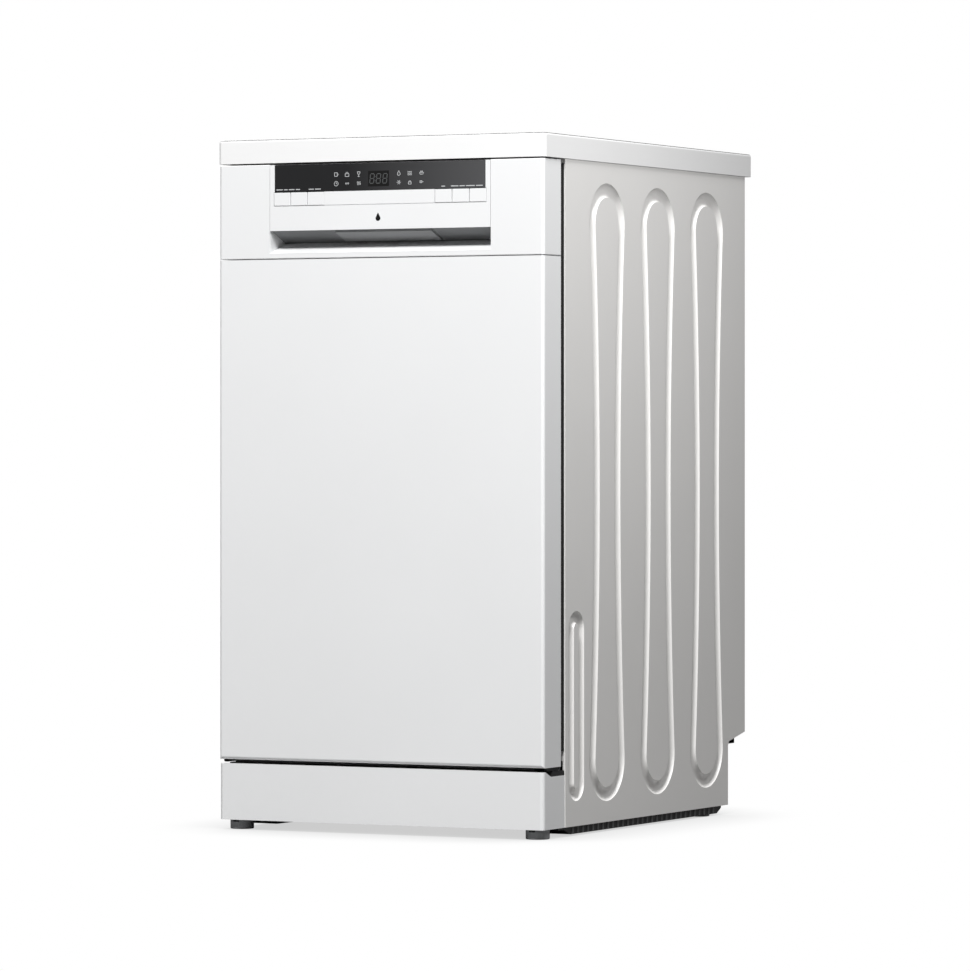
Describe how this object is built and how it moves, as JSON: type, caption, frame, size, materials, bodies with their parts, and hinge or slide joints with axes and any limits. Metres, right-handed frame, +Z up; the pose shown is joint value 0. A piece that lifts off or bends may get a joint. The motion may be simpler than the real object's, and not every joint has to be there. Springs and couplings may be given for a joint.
{
  "type": "free-standing slimline dishwasher",
  "caption": "White slimline front-loading dishwasher with a drop-down door, recessed handle, pull-out racks, spray arms and screw feet.",
  "frame": {"origin": "on the floor plane, under the centre of the machine's bounding box, feet screwed in", "axes": "+Z up, -Y out of the door, +X to the right of someone facing the door"},
  "size_m": [0.448, 0.6, 0.845],
  "materials": {
    "white_worktop": "white melamine-faced particle board with a satin surface",
    "white_steel": "white powder-coated sheet steel, satin",
    "side_steel": "pale grey-white coated sheet steel with a fine satin texture",
    "galvanised": "galvanised sheet steel",
    "stainless": "stainless sheet, fine brushed",
    "white_plastic": "white moulded plastic, satin gloss",
    "window_plastic": "smoked glossy plastic",
    "dark_grey_plastic": "dark grey moulded plastic",
    "grey_plastic": "mid grey moulded plastic",
    "pale_grey_plastic": "pale grey moulded plastic",
    "black_plastic": "black moulded plastic",
    "black_rubber": "soft black rubber",
    "coated_wire": "grey nylon-coated steel wire",
    "circuit_green": "green circuit board",
    "felt": "dark bitumen felt",
    "zinc_screws": "zinc-plated steel"
  },
  "bodies": {
    "cabinet": {"worktop_board": "white_worktop", "side_panel_left": "side_steel", "side_panel_right": "side_steel", "rear_panel": "galvanised", "cabinet_screws": "zinc_screws", "rear_service_cover": "black_plastic", "base_tray": "black_plastic", "plinth": "white_steel", "tub": "stainless", "tub_seal": "black_rubber", "tub_insulation": "felt", "hinge_bracket_bar": "galvanised", "latch_strike": "galvanised", "rack_rails": "stainless", "spray_feed_pipe": "pale_grey_plastic", "sump": "grey_plastic", "filter_plate": "stainless", "circulation_pump": "dark_grey_plastic", "drain_pump": "dark_grey_plastic", "water_softener": "pale_grey_plastic", "inlet_valve": "white_plastic", "drain_spigot": "grey_plastic", "air_break_chamber": "pale_grey_plastic", "door_springs": "zinc_screws"},
    "door": {"door_outer_panel": "white_steel", "door_inner_panel": "stainless", "control_fascia": "white_plastic", "fascia_insert": "white_plastic", "display_window": "window_plastic", "display_board": "circuit_green", "handle_scoop": "white_plastic", "handle_ceiling": "grey_plastic", "dispenser_body": "pale_grey_plastic", "hinge_arms": "galvanised"},
    "upper_rack_body": {"upper_rack": "coated_wire", "rack_runners": "pale_grey_plastic", "upper_arm_holder": "pale_grey_plastic"},
    "rail_carriage_body": {"rail_carriages": "stainless"},
    "lower_rack_body": {"lower_rack": "coated_wire"},
    "front_wheels": {"rack_wheels_front": "pale_grey_plastic"},
    "rear_wheels": {"rack_wheels_rear": "pale_grey_plastic"},
    "basket": {"cutlery_basket": "pale_grey_plastic"},
    "lower_arm": {"lower_spray_arm": "grey_plastic"},
    "upper_arm": {"upper_spray_arm": "grey_plastic"},
    "filter": {"filter_cylinder": "grey_plastic"},
    "salt_lid": {"salt_cap": "pale_grey_plastic"},
    "lever": {"latch_lever": "dark_grey_plastic"},
    "hook": {"latch_hook": "galvanised"},
    "detergent_lid": {"dispenser_lid": "pale_grey_plastic"},
    "rinse_lid": {"rinse_aid_cap": "dark_grey_plastic"},
    "button_left_1_body": {"button_left_1": "white_plastic"},
    "button_left_2_body": {"button_left_2": "white_plastic"},
    "button_left_3_body": {"button_left_3": "white_plastic"},
    "button_right_1_body": {"button_right_1": "white_plastic"},
    "button_right_2_body": {"button_right_2": "white_plastic"},
    "button_right_3_body": {"button_right_3": "white_plastic"},
    "foot_front_left_body": {"foot_front_left": "grey_plastic"},
    "foot_front_right_body": {"foot_front_right": "grey_plastic"},
    "foot_rear_left_body": {"foot_rear_left": "grey_plastic"},
    "foot_rear_right_body": {"foot_rear_right": "grey_plastic"}
  },
  "joints": [
    {"name": "door_hinge", "type": "hinge", "parent": "cabinet", "child": "door", "pos_m": [0, -0.288, 0.097], "axis": [1, 0, 0], "range_deg": [0, 90], "stiffness_Nm_per_rad": 13, "deforming": ["door_springs"]},
    {"name": "upper_rack_slide", "type": "slide", "parent": "cabinet", "child": "upper_rack_body", "axis": [0, -1, 0], "range_m": [0, 0.4]},
    {"name": "rail_carriage_slide", "type": "slide", "parent": "cabinet", "child": "rail_carriage_body", "axis": [0, -1, 0], "range_m": [0, 0.2]},
    {"name": "lower_rack_slide", "type": "slide", "parent": "cabinet", "child": "lower_rack_body", "axis": [0, -1, 0], "range_m": [0, 0.118]},
    {"name": "front_wheel_roll", "type": "hinge", "parent": "lower_rack_body", "child": "front_wheels", "pos_m": [0, -0.17, 0.1515], "axis": [1, 0, 0], "continuous": true},
    {"name": "rear_wheel_roll", "type": "hinge", "parent": "lower_rack_body", "child": "rear_wheels", "pos_m": [0, 0.16, 0.1515], "axis": [1, 0, 0], "continuous": true},
    {"name": "basket_lift", "type": "slide", "parent": "lower_rack_body", "child": "basket", "axis": [0, 0, 1], "range_m": [0, 0.1]},
    {"name": "lower_arm_spin", "type": "hinge", "parent": "cabinet", "child": "lower_arm", "pos_m": [0, 0, 0.158], "axis": [0, 0, 1], "continuous": true},
    {"name": "upper_arm_spin", "type": "hinge", "parent": "upper_rack_body", "child": "upper_arm", "pos_m": [0, 0, 0.457], "axis": [0, 0, 1], "continuous": true},
    {"name": "filter_twist", "type": "hinge", "parent": "cabinet", "child": "filter", "pos_m": [0, -0.062, 0.1], "axis": [0, 0, 1], "range_deg": [0, 60]},
    {"name": "salt_cap_twist", "type": "hinge", "parent": "cabinet", "child": "salt_lid", "pos_m": [-0.13, -0.15, 0.135], "axis": [0, 0, 1], "range_deg": [0, 90]},
    {"name": "latch_lever_pull", "type": "hinge", "parent": "door", "child": "lever", "pos_m": [0.0035, -0.267, 0.7255], "axis": [-1, 0, 0], "range_deg": [0, 8], "stiffness_Nm_per_rad": 2.5},
    {"name": "latch_hook_drop", "type": "hinge", "parent": "door", "child": "hook", "pos_m": [0, -0.268, 0.799], "axis": [-1, 0, 0], "range_deg": [0, 8]},
    {"name": "detergent_lid_slide", "type": "slide", "parent": "door", "child": "detergent_lid", "axis": [0, 0, 1], "range_m": [0, 0.066]},
    {"name": "rinse_aid_twist", "type": "hinge", "parent": "door", "child": "rinse_lid", "pos_m": [0.042, -0.26, 0.425], "axis": [0, 1, 0], "range_deg": [0, 90]},
    {"name": "button_left_1_press", "type": "slide", "parent": "door", "child": "button_left_1_body", "axis": [0, 1, 0], "range_m": [0, 0.0015], "stiffness_N_per_m": 1200},
    {"name": "button_left_2_press", "type": "slide", "parent": "door", "child": "button_left_2_body", "axis": [0, 1, 0], "range_m": [0, 0.0015], "stiffness_N_per_m": 1200},
    {"name": "button_left_3_press", "type": "slide", "parent": "door", "child": "button_left_3_body", "axis": [0, 1, 0], "range_m": [0, 0.0015], "stiffness_N_per_m": 1200},
    {"name": "button_right_1_press", "type": "slide", "parent": "door", "child": "button_right_1_body", "axis": [0, 1, 0], "range_m": [0, 0.0015], "stiffness_N_per_m": 1200},
    {"name": "button_right_2_press", "type": "slide", "parent": "door", "child": "button_right_2_body", "axis": [0, 1, 0], "range_m": [0, 0.0015], "stiffness_N_per_m": 1200},
    {"name": "button_right_3_press", "type": "slide", "parent": "door", "child": "button_right_3_body", "axis": [0, 1, 0], "range_m": [0, 0.0015], "stiffness_N_per_m": 1200},
    {"name": "foot_front_left_screw", "type": "slide", "parent": "cabinet", "child": "foot_front_left_body", "axis": [0, 0, -1], "range_m": [0, 0.022]},
    {"name": "foot_front_right_screw", "type": "slide", "parent": "cabinet", "child": "foot_front_right_body", "axis": [0, 0, -1], "range_m": [0, 0.022]},
    {"name": "foot_rear_left_screw", "type": "slide", "parent": "cabinet", "child": "foot_rear_left_body", "axis": [0, 0, -1], "range_m": [0, 0.022]},
    {"name": "foot_rear_right_screw", "type": "slide", "parent": "cabinet", "child": "foot_rear_right_body", "axis": [0, 0, -1], "range_m": [0, 0.022]}
  ],
  "couplings": [
    {"joint": "upper_rack_slide", "follows": "door_hinge", "m_per_rad": 0.2546},
    {"joint": "rail_carriage_slide", "follows": "door_hinge", "m_per_rad": 0.1273},
    {"joint": "lower_rack_slide", "follows": "door_hinge", "m_per_rad": 0.075},
    {"joint": "front_wheel_roll", "follows": "door_hinge", "ratio": 4.1667},
    {"joint": "rear_wheel_roll", "follows": "door_hinge", "ratio": 4.1667},
    {"joint": "latch_hook_drop", "follows": "latch_lever_pull", "ratio": 1}
  ]
}
